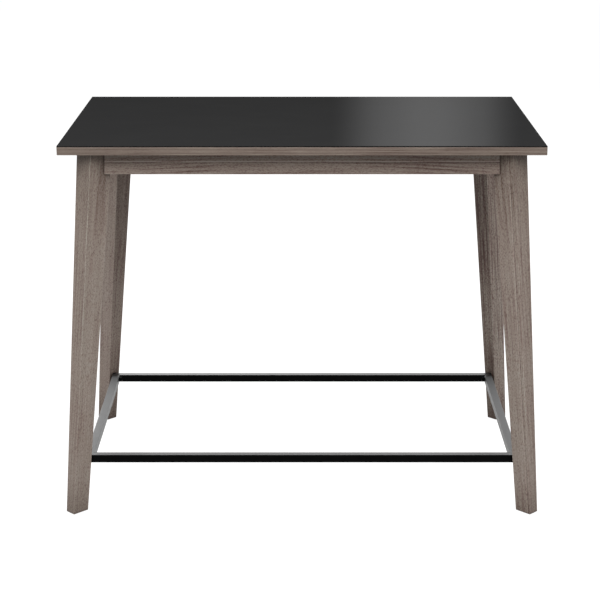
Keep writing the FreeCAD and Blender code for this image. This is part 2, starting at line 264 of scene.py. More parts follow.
def ring_line(tree, place, pith, lean, ring_gap):
    """Darkness of the growth rings: 1 on a late-wood line and 0 between the lines.

    The distance from the pith, with a lean along the grain and a slow wander, is divided by
    the gap between rings. Its fraction climbs slowly to each line and drops off at once.
    """
    wander = noise(tree, place, wander_stretch, output="Color")
    wander = vector(tree, "MULTIPLY_ADD", wander, (wander_reach, wander_reach, 0.0),
                    (-wander_reach / 2, -wander_reach / 2, 0.0))
    moved = vector(tree, "ADD", place, wander)
    height = parts_of(tree, place)["Z"]
    slant = add(tree, "CombineXYZ", {"X": calc(tree, "MULTIPLY_ADD", height, lean[0], -pith[0]),
                                     "Y": calc(tree, "MULTIPLY_ADD", height, lean[1], -pith[1])})
    level = vector(tree, "MULTIPLY", vector(tree, "ADD", moved, slant.outputs[0]), (1.0, 1.0, 0.0))
    reach = add(tree, "VectorMath", {0: level}, operation="LENGTH").outputs["Value"]
    phase = calc(tree, "FRACT", calc(tree, "DIVIDE", reach, ring_gap))
    rising = spread(tree, phase, late_wood_start, late_wood_peak)
    return calc(tree, "MULTIPLY", rising, spread(tree, phase, late_wood_peak, 1.0, 1.0, 0.0))


print("rings wander by", wander_reach * 1000 / 2, "mm each way")

# %% [markdown]
# ## Places on a board
# Stain isn't even: it is thinner on the arrises, where sanding breaks them. Some light and shade
# is also painted into it: a pale highlight along the arrises, and shade in joints and on the inner
# face of a leg. Painting such places by hand would mean unwrapping each board. The board's frame
# and half widths already tell where they are, and an ambient occlusion node tells how closed in a
# place is, so a few short functions find them.

# %% Places on a board
face_skin = (0.001, 0.003)
line_core_share = 0.31


def half_width(tree, apart, board, way):
    """Half the board's width along X or Y at this place along its length."""
    low, high = (end["XY".index(way)] for end in board["halves"])
    inputs = {"Value": apart["Z"], "From Max": board["length"], "To Min": low, "To Max": high}
    return add(tree, "MapRange", inputs).outputs["Result"]


def arris_line(tree, apart, board, width):
    """1 on a long edge of the board, falling to 0 a width away.

    The gap to each pair of faces is the half width at this height less the distance from the
    board's middle. On an edge both gaps are nothing, so the larger one measures the way to it.
    """
    gaps = [calc(tree, "SUBTRACT", half_width(tree, apart, board, way),
                 calc(tree, "ABSOLUTE", apart[way])) for way in "XY"]
    return spread(tree, calc(tree, "MAXIMUM", *gaps), 0.0, width, 1.0, 0.0)


def inner_face(tree, apart, board):
    """1 on a leg's face towards the table's middle: its gap is the half width plus X."""
    gap = calc(tree, "ADD", half_width(tree, apart, board, "X"), apart["X"])
    return spread(tree, gap, *face_skin, 1.0, 0.0)


def painted_joint_shade(tree, reach):
    """Painted shade: 1 deep in a joint and 0 in the open, from how much of the near surroundings is closed.
    """
    openness = add(tree, "AmbientOcclusion", {"Distance": reach}).outputs["AO"]
    return calc(tree, "SUBTRACT", 1.0, openness)


def line_across(tree, across, place, half):
    """1 on a straight line along the board at one place across it, and 0 half its width away."""
    aside = calc(tree, "ABSOLUTE", calc(tree, "SUBTRACT", across, place))
    return spread(tree, aside, line_core_share * half, half, 1.0, 0.0)


print("skin of a face", face_skin[1] * 1000, "mm")

# %% [markdown]
# ## Stained wood
# Up close the wood shows long fibres, short dark flecks, long dark lines, fine open pores and
# broad clouds of stain. Each is one noise, stretched along the grain by its own amount. They are
# added up in two steps: first a smooth tone with all that is broad, then the fine marks. What a
# mark darkens also turns a little redder, because the brown of the wood shows in the stain there.

# %% Tones and marks of the stain
stain_stops = (
    (0.0, (0.067, 0.049, 0.039)),
    (0.38, (0.167, 0.132, 0.109)),
    (0.55, (0.227, 0.184, 0.154)),
    (0.75, (0.285, 0.237, 0.203)),
    (1.0, (0.385, 0.334, 0.294)),
)
base_tone = 0.40
fibre_mean = 0.5
fleck_mean = 0.3
line_mean = 0.2
cloud_depth = 0.34
pore_depth = 0.16
tight_joint = 0.009
wide_joint = 0.040
arris_width = 0.0020
start_share = 0.11
end_share = 0.70
inside_shares = (0.13, 0.32)
wear_shares = (0.3, 0.6)
redder = (0.16, -0.16, -0.10)


def smooth_tone(tree, place, apart, board, patchy_mask, cut):
    """The tone without fine marks: lifts and clouds, less the painted shade of joints and of a leg's inner
    face, plus streaks.
    """
    length, height = board["length"], apart["Z"]
    start_lift, main_lift, end_lift = cut["lift"]
    # Lifts along the board. On a leg the end lift darkens its head as painted shade under the top, and the
    # start lift makes it darker towards the foot.
    tone = spread(tree, height, 0.0, start_share * length, start_lift - main_lift, 0.0)
    tone = calc(tree, "ADD", tone, spread(tree, height, end_share * length, length, main_lift, end_lift))
    cloud = noise(tree, place, (38.0, 38.0, 1.4), 3.0)
    tone = calc(tree, "MULTIPLY_ADD", cloud, cloud_depth, tone)
    # Painted shade near joints, from how closed in a place is; a number below nothing paints light there
    # instead.
    for reach, depth in zip((tight_joint, wide_joint), cut["joint"]):
        tone = calc(tree, "MULTIPLY_ADD", painted_joint_shade(tree, reach), -depth, tone)
    # Painted shade on a leg's inner face, darkest near the foot, as the rear legs stand in the shade under
    # the table.
    if "inside" in cut:
        low, high = (share * length for share in inside_shares)
        shade = calc(tree, "MULTIPLY", spread(tree, height, low, high, *cut["inside"]),
                     inner_face(tree, apart, board))
        tone = calc(tree, "SUBTRACT", tone, shade)
    tone = calc(tree, "ADD", tone, base_tone + line_mean * cut["figure"][2])
    for across, half, amount in cut.get("streaks", ()):
        line = calc(tree, "MULTIPLY", line_across(tree, apart["X"], across, half), patchy_mask)
        tone = calc(tree, "MULTIPLY_ADD", line, amount, tone)
    return tone


def marked_tone(tree, smooth, bent, fibre, pores, cut):
    """The smooth tone plus fibres, less flecks, lines, patches of rings and pores.

    The mean of fibres and flecks is evened out first, so that the board keeps its tone on the
    whole however much of them shows. The mean of the lines is in the smooth tone already.
    """
    fibre_depth, fleck_depth, line_depth = cut["figure"]
    fleck = spread(tree, noise(tree, bent, (470.0, 470.0, 180.0), 3.0, 0.65), 0.32, 0.54, 1.0, 0.0)
    lines = spread(tree, noise(tree, bent, (230.0, 230.0, 2.4)), 0.50, 0.68)
    rings = ring_line(tree, bent, cut["pith"], cut["lean"], cut["ring_gap"])
    patch = spread(tree, noise(tree, bent, (16.0, 16.0, 4.0)), 0.40, 0.62)
    tone = calc(tree, "ADD", smooth, fleck_mean * fleck_depth - fibre_mean * fibre_depth)
    tone = calc(tree, "MULTIPLY_ADD", fibre, fibre_depth, tone)
    tone = calc(tree, "MULTIPLY_ADD", fleck, -fleck_depth, tone)
    tone = calc(tree, "MULTIPLY_ADD", lines, -line_depth, tone)
    tone = calc(tree, "MULTIPLY_ADD", calc(tree, "MULTIPLY", rings, patch), -cut["ring_depth"], tone)
    return calc(tree, "MULTIPLY_ADD", pores, -pore_depth, tone)


print(len(stain_stops), "stain tones")

# %% [markdown]
# One function now puts the tones together to a finish, and each leg gets its own cut from the
# tree. One material for all legs would be shorter, but then they would show the same figure,
# while real legs come from different boards.


# %% The stained finish
def stained_wood(name, board, **cut):
    """Finish of one board, from how it is cut out of the tree and stained.

    The pith, lean, ring gap, ring depth and bow place the growth rings. The three lifts make the
    start, the main length and the end of the board paler, or darker below nothing; on a leg the
    darker end is painted shade under the top. The two numbers of the arris line make the arrises
    pale near its start and its end, partly as stain sanded thin and partly as a painted highlight.
    The figure tells how much fibres, flecks and lines show. The two numbers of the joint paint
    shade into a tight joint and its wider surroundings, or paint light there below nothing. A
    streak is a straight line: its place across the board, half its width, and how pale it is, or
    dark below nothing. Inside paints shade on a leg's inner face near the start and further on.
    A number for warmth lays a painted warm tint of bounced light over the whole board.
    """
    finish, tree, shader = open_finish(name)
    length = board["length"]
    place = grain_place(tree, board)
    apart = parts_of(tree, place)
    bent = bowed(tree, place, length, cut.get("bow", 0.0))
    fibre = noise(tree, place, (420.0, 420.0, 9.0), 3.0, 0.6)
    pores = spread(tree, noise(tree, place, (1100.0, 1100.0, 45.0), 1.0), 0.60, 0.72)
    patchy_mask = spread(tree, noise(tree, place, (30.0, 30.0, 9.0), 3.0), 0.25, 0.50)

    smooth = smooth_tone(tree, place, apart, board, patchy_mask, cut)
    tone = marked_tone(tree, smooth, bent, fibre, pores, cut)
    # The pale arris line: partly stain sanded thin, partly a painted highlight on the rounded edge, broken
    # into patches.
    edge_wear_and_highlight = calc(tree, "MULTIPLY", arris_line(tree, apart, board, arris_width), patchy_mask)
    low, high = (share * length for share in wear_shares)
    shine = spread(tree, apart["Z"], low, high, *cut["wear"])
    tone = calc(tree, "MULTIPLY_ADD", edge_wear_and_highlight, shine, tone)

    # Marks turn redder, and the board's own number adds a painted warm tint of bounced light, highest on
    # boards that stand in shade.
    dark = calc(tree, "ADD", calc(tree, "SUBTRACT", smooth, tone), cut["red"])
    tint = vector(tree, "MULTIPLY_ADD", dark, redder, (1.0, 1.0, 1.0))
    rough = calc(tree, "MULTIPLY_ADD", fibre, 0.16, 0.46)
    fill(tree, shader, {
        "Base Color": vector(tree, "MULTIPLY", ramp(tree, tone, stain_stops), tint),
        "Roughness": calc(tree, "MULTIPLY_ADD", pores, 0.18, rough),
        "Specular IOR Level": 0.2,
    })
    relief = calc(tree, "MULTIPLY_ADD", pores, -0.8, calc(tree, "MULTIPLY_ADD", fibre, 0.35, 0.8))
    bump(tree, shader, relief, 0.35, 0.0004)
    return finish


# Each leg's cut also holds painted shade: its lifts darken the head under the top, and the rear legs, which
# stand under the table, get a lower main lift, a shaded inner face and a warmer painted tint of bounced
# light.
leg_cuts = {
    "front_left_leg": {
        "pith": (0.018, 0.055), "lean": (0.034, -0.028), "ring_gap": 0.0105,
        "lift": (-0.10, 0.10, -0.13), "wear": (0.04, 0.32), "figure": (0.20, 0.42, 0.14), "red": 0.04},
    "front_right_leg": {
        "pith": (-0.055, -0.090), "lean": (0.026, 0.034), "ring_gap": 0.0110,
        "lift": (-0.10, 0.075, -0.18), "wear": (0.20, 0.22), "figure": (0.32, 0.50, 0.22), "red": 0.07,
        "streaks": ((0.0177, 0.0016, 0.30), (0.0206, 0.0016, -0.24))},
    "rear_left_leg": {
        "pith": (0.090, -0.045), "lean": (-0.010, 0.008), "ring_gap": 0.0058,
        "lift": (-0.24, 0.04, -0.12), "wear": (0.10, 0.15), "figure": (0.45, 0.48, 0.14), "red": 0.12,
        "inside": (0.18, 0.05)},
    "rear_right_leg": {
        "pith": (-0.020, 0.070), "lean": (0.014, 0.010), "ring_gap": 0.0066,
        "lift": (-0.33, -0.10, -0.17), "wear": (0.10, 0.10), "figure": (0.95, 0.80, 0.60), "red": 0.14,
        "inside": (0.38, 0.06)},
}
# Every leg gets painted shade near its joints: strong in tight ones, lighter in their wider surroundings.
for name, cut in leg_cuts.items():
    dress(name, stained_wood(f"stain_{name}", boards[name], ring_depth=0.20, joint=(0.95, 0.20), **cut))
print(len(leg_cuts), "legs stained")

# %% [markdown]
# The aprons are sawn so that the rings lie flat and long, with one pale and one dark line along
# them. The edge bands are thin strips with straight grain, all cut from one roll, so they share
# their two dark lines. A shift from side to side keeps the boards from being twins.

# %% Aprons and edge bands
board_shift = 0.012
for number, side in enumerate(sides):
    apron, band = f"{side}_apron", f"{side}_edge_band"
    shift = board_shift * number
    # An apron gets a little painted shade in its tight joints, and painted light in their wider surroundings
    # against the shade of the overhang.
    dress(apron, stained_wood(
        f"stain_{apron}", boards[apron], pith=(-0.070 - shift, 0.055), lean=(0.0, 0.0), ring_gap=0.0085,
        ring_depth=0.36, lift=(-0.09, -0.06, -0.04), wear=(0.05, 0.05), figure=(0.70, 0.40, 0.15),
        joint=(0.05, -0.75), red=0.11, bow=0.020,
        streaks=((0.0036 - shift, 0.0018, 0.62), (-0.0002 - shift, 0.0020, -0.30))))
    # A band gets painted shade in its tight joints.
    dress(band, stained_wood(
        f"stain_{band}", boards[band], pith=(0.180 + shift, 0.02), lean=(0.001, 0.0), ring_gap=0.0064,
        ring_depth=0.26, lift=(-0.17, -0.17, -0.17), wear=(0.05, 0.05), figure=(0.45, 0.08, 0.05),
        joint=(0.55, 0.0), red=0.0, streaks=((0.0044, 0.0026, -0.14), (-0.0059, 0.0028, -0.15))))
print(2 * len(sides), "aprons and bands stained")

# %% [markdown]
# ## The black sheet
# The top is a thin black sheet with a deep polish. A plain glossy shader would mirror the white
# studio at this low angle and turn grey, while the real sheet stays charcoal and shows only a
# soft band of light. So the polish is a clear coat whose weight falls as the surface turns away,
# by Layer Weight, over a base that is almost black. Its sawn edge has much less polish.

# %% Black sheet
sheet_stops = ((0.2, (0.003, 0.003, 0.0032)), (0.9, (0.008, 0.008, 0.008)))
polish_face_on = 0.80
polish_turned = 0.04
polish_turn = 0.866
edge_polish_share = 0.1


def gloss_black():
    """Near-black base under a clear coat, with faint wiping marks in the base's roughness."""
    finish, tree, shader = open_finish("gloss_black_sheet")
    spot = object_place(tree)
    haze = noise(tree, spot, (9.0, 14.0, 9.0), 5.0, 0.6)
    speck = spread(tree, noise(tree, spot, (900.0, 900.0, 900.0)), 0.68, 0.76)
    tint = calc(tree, "MULTIPLY_ADD", haze, 0.5, calc(tree, "MULTIPLY", speck, 0.5))
    facing = add(tree, "LayerWeight", {"Blend": 0.5}).outputs["Facing"]
    inputs = {"Value": facing, "From Max": polish_turn, "To Min": polish_face_on, "To Max": polish_turned}
    polish = add(tree, "MapRange", inputs).outputs["Result"]
    upward = parts_of(tree, add(tree, "NewGeometry").outputs["Normal"])["Z"]
    flat = spread(tree, upward, 0.3, 0.95, edge_polish_share, 1.0)
    fill(tree, shader, {
        "Base Color": ramp(tree, tint, sheet_stops),
        "Roughness": spread(tree, haze, 0.3, 0.7, 0.32, 0.46),
        "Specular IOR Level": 0.0,
        "Coat Weight": calc(tree, "MULTIPLY", polish, flat),
        "Coat Roughness": 0.06,
        "Coat IOR": 1.5,
    })
    return finish


dress("top_sheet", gloss_black())
print("black sheet polished")

# %% [markdown]
# ## Black steel
# The foot ring is square tube with a black paint. Seen face on it is nearly lightless, and along
# its length it mirrors the studio softly, so its coat grows as the surface turns away. A fine
# orange-peel bump keeps the mirror from being perfect.

# %% Black steel
paint_stops = ((0.3, (0.0016, 0.0016, 0.0017)), (0.8, (0.0032, 0.0032, 0.0033)))


def black_steel():
    """Lightless base with orange peel, and a coat that grows towards a slant and then eases."""
    finish, tree, shader = open_finish("black_paint_on_steel")
    spot = object_place(tree)
    peel = noise(tree, spot, (420.0, 420.0, 420.0))
    scuff = noise(tree, spot, (35.0, 35.0, 60.0), 6.0, 0.65)
    facing = add(tree, "LayerWeight", {"Blend": 0.5}).outputs["Facing"]
    growing = spread(tree, facing, 0.50, 0.66)
    easing = spread(tree, facing, 0.66, 0.90, 1.0, 0.60)
    fill(tree, shader, {
        "Base Color": ramp(tree, scuff, paint_stops),
        "Roughness": spread(tree, scuff, 0.35, 0.75, 0.38, 0.52),
        "Specular IOR Level": 0.02,
        "Coat Weight": calc(tree, "MULTIPLY", growing, easing),
        "Coat Roughness": 0.40,
        "Coat IOR": 1.8,
    })
    bump(tree, shader, peel, 0.10, 0.0002)
    return finish


painted = black_steel()
for side in sides:
    dress(f"{side}_foot_rail", painted)
for name in ("corner_saddles", "ring_screws"):
    dress(name, painted)
print("foot ring painted")

# %% [markdown]
# ## Finishes that hardly show
# Under the top there is a dark backing film, raw particle board inside it, pale corner blocks,
# zinc-plated fasteners, brass inserts and black nylon. Each still gets its own pattern, because
# a table is also looked at from below, and a flat colour would look like a placeholder there.

# %% Backing film and core board
film_stops = ((0.3, (0.036, 0.033, 0.030)), (0.7, (0.062, 0.057, 0.053)))
chip_stops = ((0.0, (0.25, 0.17, 0.10)), (0.5, (0.42, 0.31, 0.20)), (1.0, (0.55, 0.43, 0.29)))


def backing_film():
    """Dark matt film: fine paper grain in colour, roughness and relief."""
    finish, tree, shader = open_finish("dark_backing_film")
    spot = object_place(tree)
    grain = noise(tree, spot, (700.0, 700.0, 700.0), 3.0, 0.6)
    cloud = noise(tree, spot, (6.0, 6.0, 6.0), 3.0)
    tone = calc(tree, "MULTIPLY_ADD", grain, 0.5, calc(tree, "MULTIPLY", cloud, 0.5))
    fill(tree, shader, {
        "Base Color": ramp(tree, tone, film_stops),
        "Roughness": spread(tree, grain, 0.3, 0.7, 0.62, 0.8),
        "Specular IOR Level": 0.3,
    })
    bump(tree, shader, grain, 0.2, 0.0002)
    return finish


def core_board():
    """Particle board: flat chips from cells, each with its own tone."""
    finish, tree, shader = open_finish("particle_board")
    flat = vector(tree, "MULTIPLY", object_place(tree), (180.0, 180.0, 700.0))
    chips = add(tree, "TexVoronoi", {"Vector": flat, "Scale": 1.0, "Randomness": 1.0}).outputs
    chip = parts_of(tree, chips["Color"])["X"]
    fill(tree, shader, {
        "Base Color": ramp(tree, chip, chip_stops),
        "Roughness": spread(tree, chip, 0.0, 1.0, 0.75, 0.9),
    })
    bump(tree, shader, chips["Distance"], 0.3, 0.0004)
    return finish


dress("backing_sheet", backing_film())
dress("tabletop_core", core_board())
print("underside faced")

# %% [markdown]
# ## Corner blocks
# A block of pale hardwood bridges two aprons behind each leg and takes its bolts. It is only
# planed, so its grain shows without stain. The growth rings of the boards serve here too, in a
# frame that is turned along the block.

# %% Corner blocks
block_stops = ((0.2, (0.30, 0.20, 0.115)), (0.6, (0.45, 0.33, 0.20)), (0.9, (0.56, 0.43, 0.28)))


def block_wood(name, board):
    """Pale planed hardwood: soft rings and short darker rays."""
    finish, tree, shader = open_finish(name)
    place = grain_place(tree, board)
    rings = ring_line(tree, place, pith=(0.06, 0.03), lean=(0.05, 0.02), ring_gap=0.005)
    fibre = noise(tree, place, (500.0, 500.0, 14.0), 3.0, 0.6)
    rays = spread(tree, noise(tree, place, (900.0, 300.0, 120.0), 1.0), 0.62, 0.70)
    tone = calc(tree, "MULTIPLY_ADD", rings, -0.25, calc(tree, "MULTIPLY_ADD", fibre, 0.6, 0.3))
    tone = calc(tree, "MULTIPLY_ADD", rays, -0.2, tone)
    fill(tree, shader, {
        "Base Color": ramp(tree, tone, block_stops),
        "Roughness": spread(tree, fibre, 0.3, 0.7, 0.55, 0.72),
        "Specular IOR Level": 0.3,
    })
    bump(tree, shader, fibre, 0.25, 0.0003)
    return finish


for corner in corner_names:
    row, side = corner.split("_")
    along_block = Vector((diagonal[side], -diagonal[row], 0))
    turn = Vector((0, 0, 1)).rotation_difference(along_block).to_euler()
    board = {"foot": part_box(f"{corner}_corner_block")[0], "turn": turn}
    dress(f"{corner}_corner_block", block_wood(f"planed_{corner}_block", board))
print(len(corner_names), "corner blocks planed")

# %% [markdown]
# ## Metals and nylon
# Bolts and brackets are zinc plated and tumbled in a drum, the inserts are brass, and the glides
# and connectors are moulded. Such small parts need little: two noises, one for clouds and one
# for fine marks, make both metals, and one more makes the texture of the nylon.

# %% Metals and nylon
nylon_stops = ((0.3, (0.013, 0.013, 0.013)), (0.75, (0.028, 0.028, 0.028)))


def plated(name, dull, bright, rough_low, rough_high):
    """Metal from a dull to a bright tone: clouds of plating and fine tumbling marks."""
    finish, tree, shader = open_finish(name)
    spot = object_place(tree)
    cloud = noise(tree, spot, (160.0, 160.0, 160.0), 4.0, 0.6)
    mark = noise(tree, spot, (1500.0, 1500.0, 1500.0))
    fill(tree, shader, {
        "Base Color": ramp(tree, cloud, ((0.3, dull), (0.7, bright))),
        "Metallic": 1.0,
        "Roughness": spread(tree, mark, 0.3, 0.7, rough_low, rough_high),
    })
    bump(tree, shader, mark, 0.08, 0.0001)
    return finish


def black_nylon():
    """Moulded black nylon: a fine spark-eroded texture, a little paler on its high points."""
    finish, tree, shader = open_finish("moulded_nylon")
    grain = noise(tree, object_place(tree), (1300.0, 1300.0, 1300.0))
    fill(tree, shader, {
        "Base Color": ramp(tree, grain, nylon_stops),
        "Roughness": spread(tree, grain, 0.3, 0.7, 0.48, 0.62),
        "Specular IOR Level": 0.35,
    })
    bump(tree, shader, grain, 0.25, 0.0002)
    return finish


zinc = plated("zinc_plating", (0.50, 0.51, 0.52), (0.68, 0.69, 0.70), 0.26, 0.42)
brass = plated("plain_brass", (0.52, 0.36, 0.14), (0.70, 0.50, 0.21), 0.24, 0.38)
nylon = black_nylon()
for name in ("hanger_bolts", "hanger_washers", "hanger_nuts", "block_screws", "apron_brackets",
             "bracket_apron_screws", "bracket_top_screws", "glide_screws"):
    dress(name, zinc)
dress("threaded_inserts", brass)
for corner in corner_names:
    dress(f"{corner}_ring_connector", nylon)
    dress(f"{corner}_glide", nylon)
print("metals and nylon dressed")

# %% [markdown]
# ## Where the fasteners stand
# The CAD model draws each screw as a plain pin with a disc on it. Before new ones can be made,
# the old ones are measured: a node is split into its separate solids, and each solid tells the
# way it points, how long it is, and how thick its head and its shank are.

# %% Measure the fasteners
ways = np.array([(1, 0, 0), (0, 1, 0), (0, 0, 1), (1, 1, 0), (1, -1, 0)], dtype=float)
ways /= np.linalg.norm(ways, axis=1, keepdims=True)
end_slice = 0.0003
wider_end = 1.05
wider_head = 1.1


def solids_of(name):
    """Corners of each separate solid in a node.

    Corners at one place are welded and get a label each. Every triangle hands its lowest label
    to its corners until nothing changes.
    """
    mesh = solids[name].data
    mesh.calc_loop_triangles()
    corners = np.empty(len(mesh.loop_triangles) * 3, dtype=np.int32)
    mesh.loop_triangles.foreach_get("vertices", corners)
    points, welded = np.unique(points_of(name).round(6), axis=0, return_inverse=True)
    corners = welded.ravel()[corners].reshape(-1, 3)
    labels, fresh = None, np.arange(len(points))
    while labels is None or (labels != fresh).any():
        labels = fresh
        fresh = labels.copy()
        np.minimum.at(fresh, corners, labels[corners].min(axis=1, keepdims=True))
    return [points[labels == label] for label in np.unique(labels)]


def measure(points, is_pin):
    """Start, axis and sizes of one fastener.

    A pin reaches furthest along its axis and a ring least. The axis points away from the table's
    middle, unless the wider end, which is the head, is at its far end.
    """
    reach = np.ptp(points @ ways.T, axis=0)
    axis = ways[reach.argmax() if is_pin else reach.argmin()]
    centre = (points.min(axis=0) + points.max(axis=0)) / 2
    axis = axis if centre @ axis >= 0 else -axis
    along = (points - centre) @ axis
    aside = np.linalg.norm(points - centre - along[:, None] * axis, axis=1)
    near_end, far_end = along < along.min() + end_slice, along > along.max() - end_slice
    if aside[far_end].max() > wider_end * aside[near_end].max():
        axis, along, far_end = -axis, -along, near_end
    along = along - along.min()
    shank = aside[far_end].max()
    wide = along[aside > wider_head * shank]
    return {"start": centre - axis * along.max() / 2, "axis": axis, "length": along.max(),
            "radius": shank, "reach": aside.max(), "hole": aside.min(),
            "head": wide.max() if wide.size else 0.0}


pins = ("hanger_bolts", "block_screws", "bracket_apron_screws", "bracket_top_screws", "glide_screws",
        "ring_screws")
fixings = {}
for name in (*pins, "hanger_washers", "hanger_nuts"):
    fixings[name] = [measure(points, name in pins) for points in solids_of(name)]
    size = fixings[name][0]
    shown = {key: round(size[key] * 1000, 2) for key in ("length", "radius", "reach", "hole", "head")}
    print(name, len(fixings[name]), "pieces, in mm", shown, "axis", size["axis"].round(2))

# %% [markdown]
# ## Turned and rolled fasteners
# A fastener is made on a lathe and between thread rollers, so its surface is a radius that
# changes along the axis and round it. That is one grid of points: rows along the profile, columns
# round the axis. A recess only pushes the crown of the head down, and a thread only pushes the
# shank out. All fasteners of a kind are joined to one piece that stands for the CAD node.

# %% Threads and recesses
columns = 32
angles = np.arange(columns) * 2 * pi / columns
all_round = np.ones(columns)


def rolled(along, pitch, first, last):
    """A thread: 0 in the groove and 1 on the crest, between two places on the axis.

    The phase is the way along in pitches less the turn round, and the ridge is a triangle on it
    with a flattened crest. It fades in and out over one pitch.
    """
    phase = (along[:, None] / pitch - angles / (2 * pi)) % 1.0
    ridge = np.clip(1.4 - 2.4 * np.abs(2.0 * phase - 1.0), 0.0, 1.0)
    fade = np.clip((along - first) / pitch, 0.0, 1.0) * np.clip((last - along) / pitch, 0.0, 1.0)
    return ridge * fade[:, None]


def cross_recess(across, up, size):
    """1 inside a cross of two slots, falling to 0 over its leaning walls.

    A slot reaches 0.55 of the head's radius one way and 0.20 the other, with walls inside that.
    """
    def slot(wide, narrow):
        return (np.clip((0.55 * size - np.abs(wide)) / (0.10 * size), 0.0, 1.0)
                * np.clip((0.20 * size - np.abs(narrow)) / (0.08 * size), 0.0, 1.0))

    return np.maximum(slot(across, up), slot(up, across))


def hexagon(angle):
    """Reach of a hexagon with an inner radius of 1, at an angle."""
    return 1.0 / np.cos(angle % (pi / 3) - pi / 6)


def hex_recess(across, up, size):
    """1 inside a six-sided socket of 0.42 of the head's radius, falling to 0 over its steep wall."""
    inner = np.hypot(across, up) / hexagon(np.arctan2(up, across))
    return np.clip((0.42 * size - inner) / (0.06 * size), 0.0, 1.0)


print(columns, "columns round every fastener")

# %% Screws and bolts
crown_rows = 24
rows_per_pitch = 6
plain_share = 0.25
recess_share = 0.55
crown_gap_share = 0.02


def screw_grid(size, recess, dome, pitch, core, point):
    """A screw: crown to rim, rim to underside, then the threaded shank to its point.

    The crown drops with the circle of its radius, by the dome's share of the head's height, and
    the recess takes about half the height more. The shank is its radius times the core's share in
    the groove and whole on the crest, and shrinks to nothing over the point.
    """
    head, width, length = size["head"], size["reach"], size["length"]
    share = np.linspace(0.0, 1.0, crown_rows)
    top_radius = width * share[:, None] * all_round
    cut = recess(top_radius * np.cos(angles), top_radius * np.sin(angles), width)
    crown = dome * head * (1.0 - np.sqrt(1.0 - share ** 2)) + crown_gap_share * head
    top = crown[:, None] + recess_share * head * cut
    along = np.linspace(head, length, int((length - head) / pitch * rows_per_pitch) + 2)
    ridge = rolled(along, pitch, head + plain_share * (length - head), length)
    taper = np.clip((length - along) / point, 0.0, 1.0)[:, None]
    shank = size["radius"] * taper * (core + (1.0 - core) * ridge)
    rim = np.full((1, columns), width)
    radii = np.concatenate([top_radius, rim, shank])
    heights = np.concatenate([top, rim * 0.0 + head, along[:, None] * all_round])
    return heights, radii, False


def wood_screw(size):
    """A pan-head wood screw with a cross recess."""
    return screw_grid(size, cross_recess, dome=0.60, pitch=0.0018, core=0.66, point=0.005)


def flat_screw(size):
    """A screw with a nearly flat head, for the countersink under a glide."""
    return screw_grid(size, cross_recess, dome=0.15, pitch=0.0014, core=0.66, point=0.004)


def socket_screw(size):
    """A button-head machine screw with a six-sided socket."""
    return screw_grid(size, hex_recess, dome=0.80, pitch=0.0010, core=0.84, point=0.001)


machine_pitch = 0.00125
machine_length = 0.020
coarse_pitch = 0.0035
coarse_length = 0.032
coarse_point = 0.007
hanger_core = 0.80
hanger_rows = 270
first_row = 0.0005
thread_start = -0.001


def hanger_grid(size):
    """A hanger bolt: a flat end, a machine thread, a plain shank and a coarse wood thread."""
    length = size["length"]
    along = np.concatenate([[0.0, 0.0], np.linspace(first_row, length, hanger_rows)])
    thread = np.maximum(rolled(along, machine_pitch, thread_start, machine_length),
                        rolled(along, coarse_pitch, length - coarse_length, length))
    taper = np.clip((length - along) / coarse_point, 0.0, 1.0)[:, None]
    radii = size["radius"] * taper * (hanger_core + (1.0 - hanger_core) * thread)
    radii[0] = 0.0
    return along[:, None] * all_round, radii, False


print("a hanger bolt has", hanger_rows + 2, "rows")

# %% Nuts and washers
bore_chamfer = 0.0007
nut_rows = 13
nut_cone_share = 0.95
nut_cone_slope = 1.75
washer_rows = 28
washer_softness = 0.2


def nut_grid(size):
    """A hexagon nut: round the ring's section, from its bore over one face, its side and the other.

    The side is the hexagon or the chamfer's cone, whichever is nearer the axis.
    """
    inner, height = size["reach"] * np.cos(pi / 6), size["length"]
    level = np.linspace(0.0, height, nut_rows)[:, None]
    cone = nut_cone_share * inner + nut_cone_slope * np.minimum(level, height - level)
    side = np.minimum(inner * hexagon(angles), cone)
    bore = size["hole"] + np.array([[0.0], [bore_chamfer], [bore_chamfer], [0.0]]) * all_round
    mouth = np.array([[bore_chamfer], [0.0], [height], [height - bore_chamfer]]) * all_round
    radii = np.concatenate([bore[:2], side, bore[2:]])
    heights = np.concatenate([mouth[:2], level * all_round, mouth[2:]])
    return heights, radii, True


def washer_grid(size):
    """A washer: its section is a rectangle with soft corners, by a circle's powers of one fifth."""
    turn = np.linspace(0.0, 2 * pi, washer_rows, endpoint=False)[:, None] * all_round
    half = (size["reach"] - size["hole"]) / 2
    soft_cos = np.sign(np.cos(turn)) * np.abs(np.cos(turn)) ** washer_softness
    soft_sin = np.sign(np.sin(turn)) * np.abs(np.sin(turn)) ** washer_softness
    return size["length"] / 2 * (1.0 + soft_sin), size["hole"] + half * (1.0 + soft_cos), True


print("a washer has", washer_rows, "rows")

# %% [markdown]
# ## Forging the pieces
# Each grid is set on its fastener's axis, and its rows and columns become quads. The points of a
# head's middle or a screw's tip fall on one spot, so doubles are merged and the faces turned
# outward.

# %% Forge the pieces
weld_gap = 1e-6
sharp_angle = 0.6
upright = 0.9


def place_grid(size, heights, radii):
    """World points of a grid: start, plus height along the axis, plus radius round it."""
    axis = size["axis"]
    side = np.cross(axis, (1.0, 0.0, 0.0) if abs(axis[2]) > upright else (0.0, 0.0, 1.0))
    other = np.cross(axis, side)
    return (size["start"] + heights[..., None] * axis + (radii * np.cos(angles))[..., None] * side
            + (radii * np.sin(angles))[..., None] * other).reshape(-1, 3)


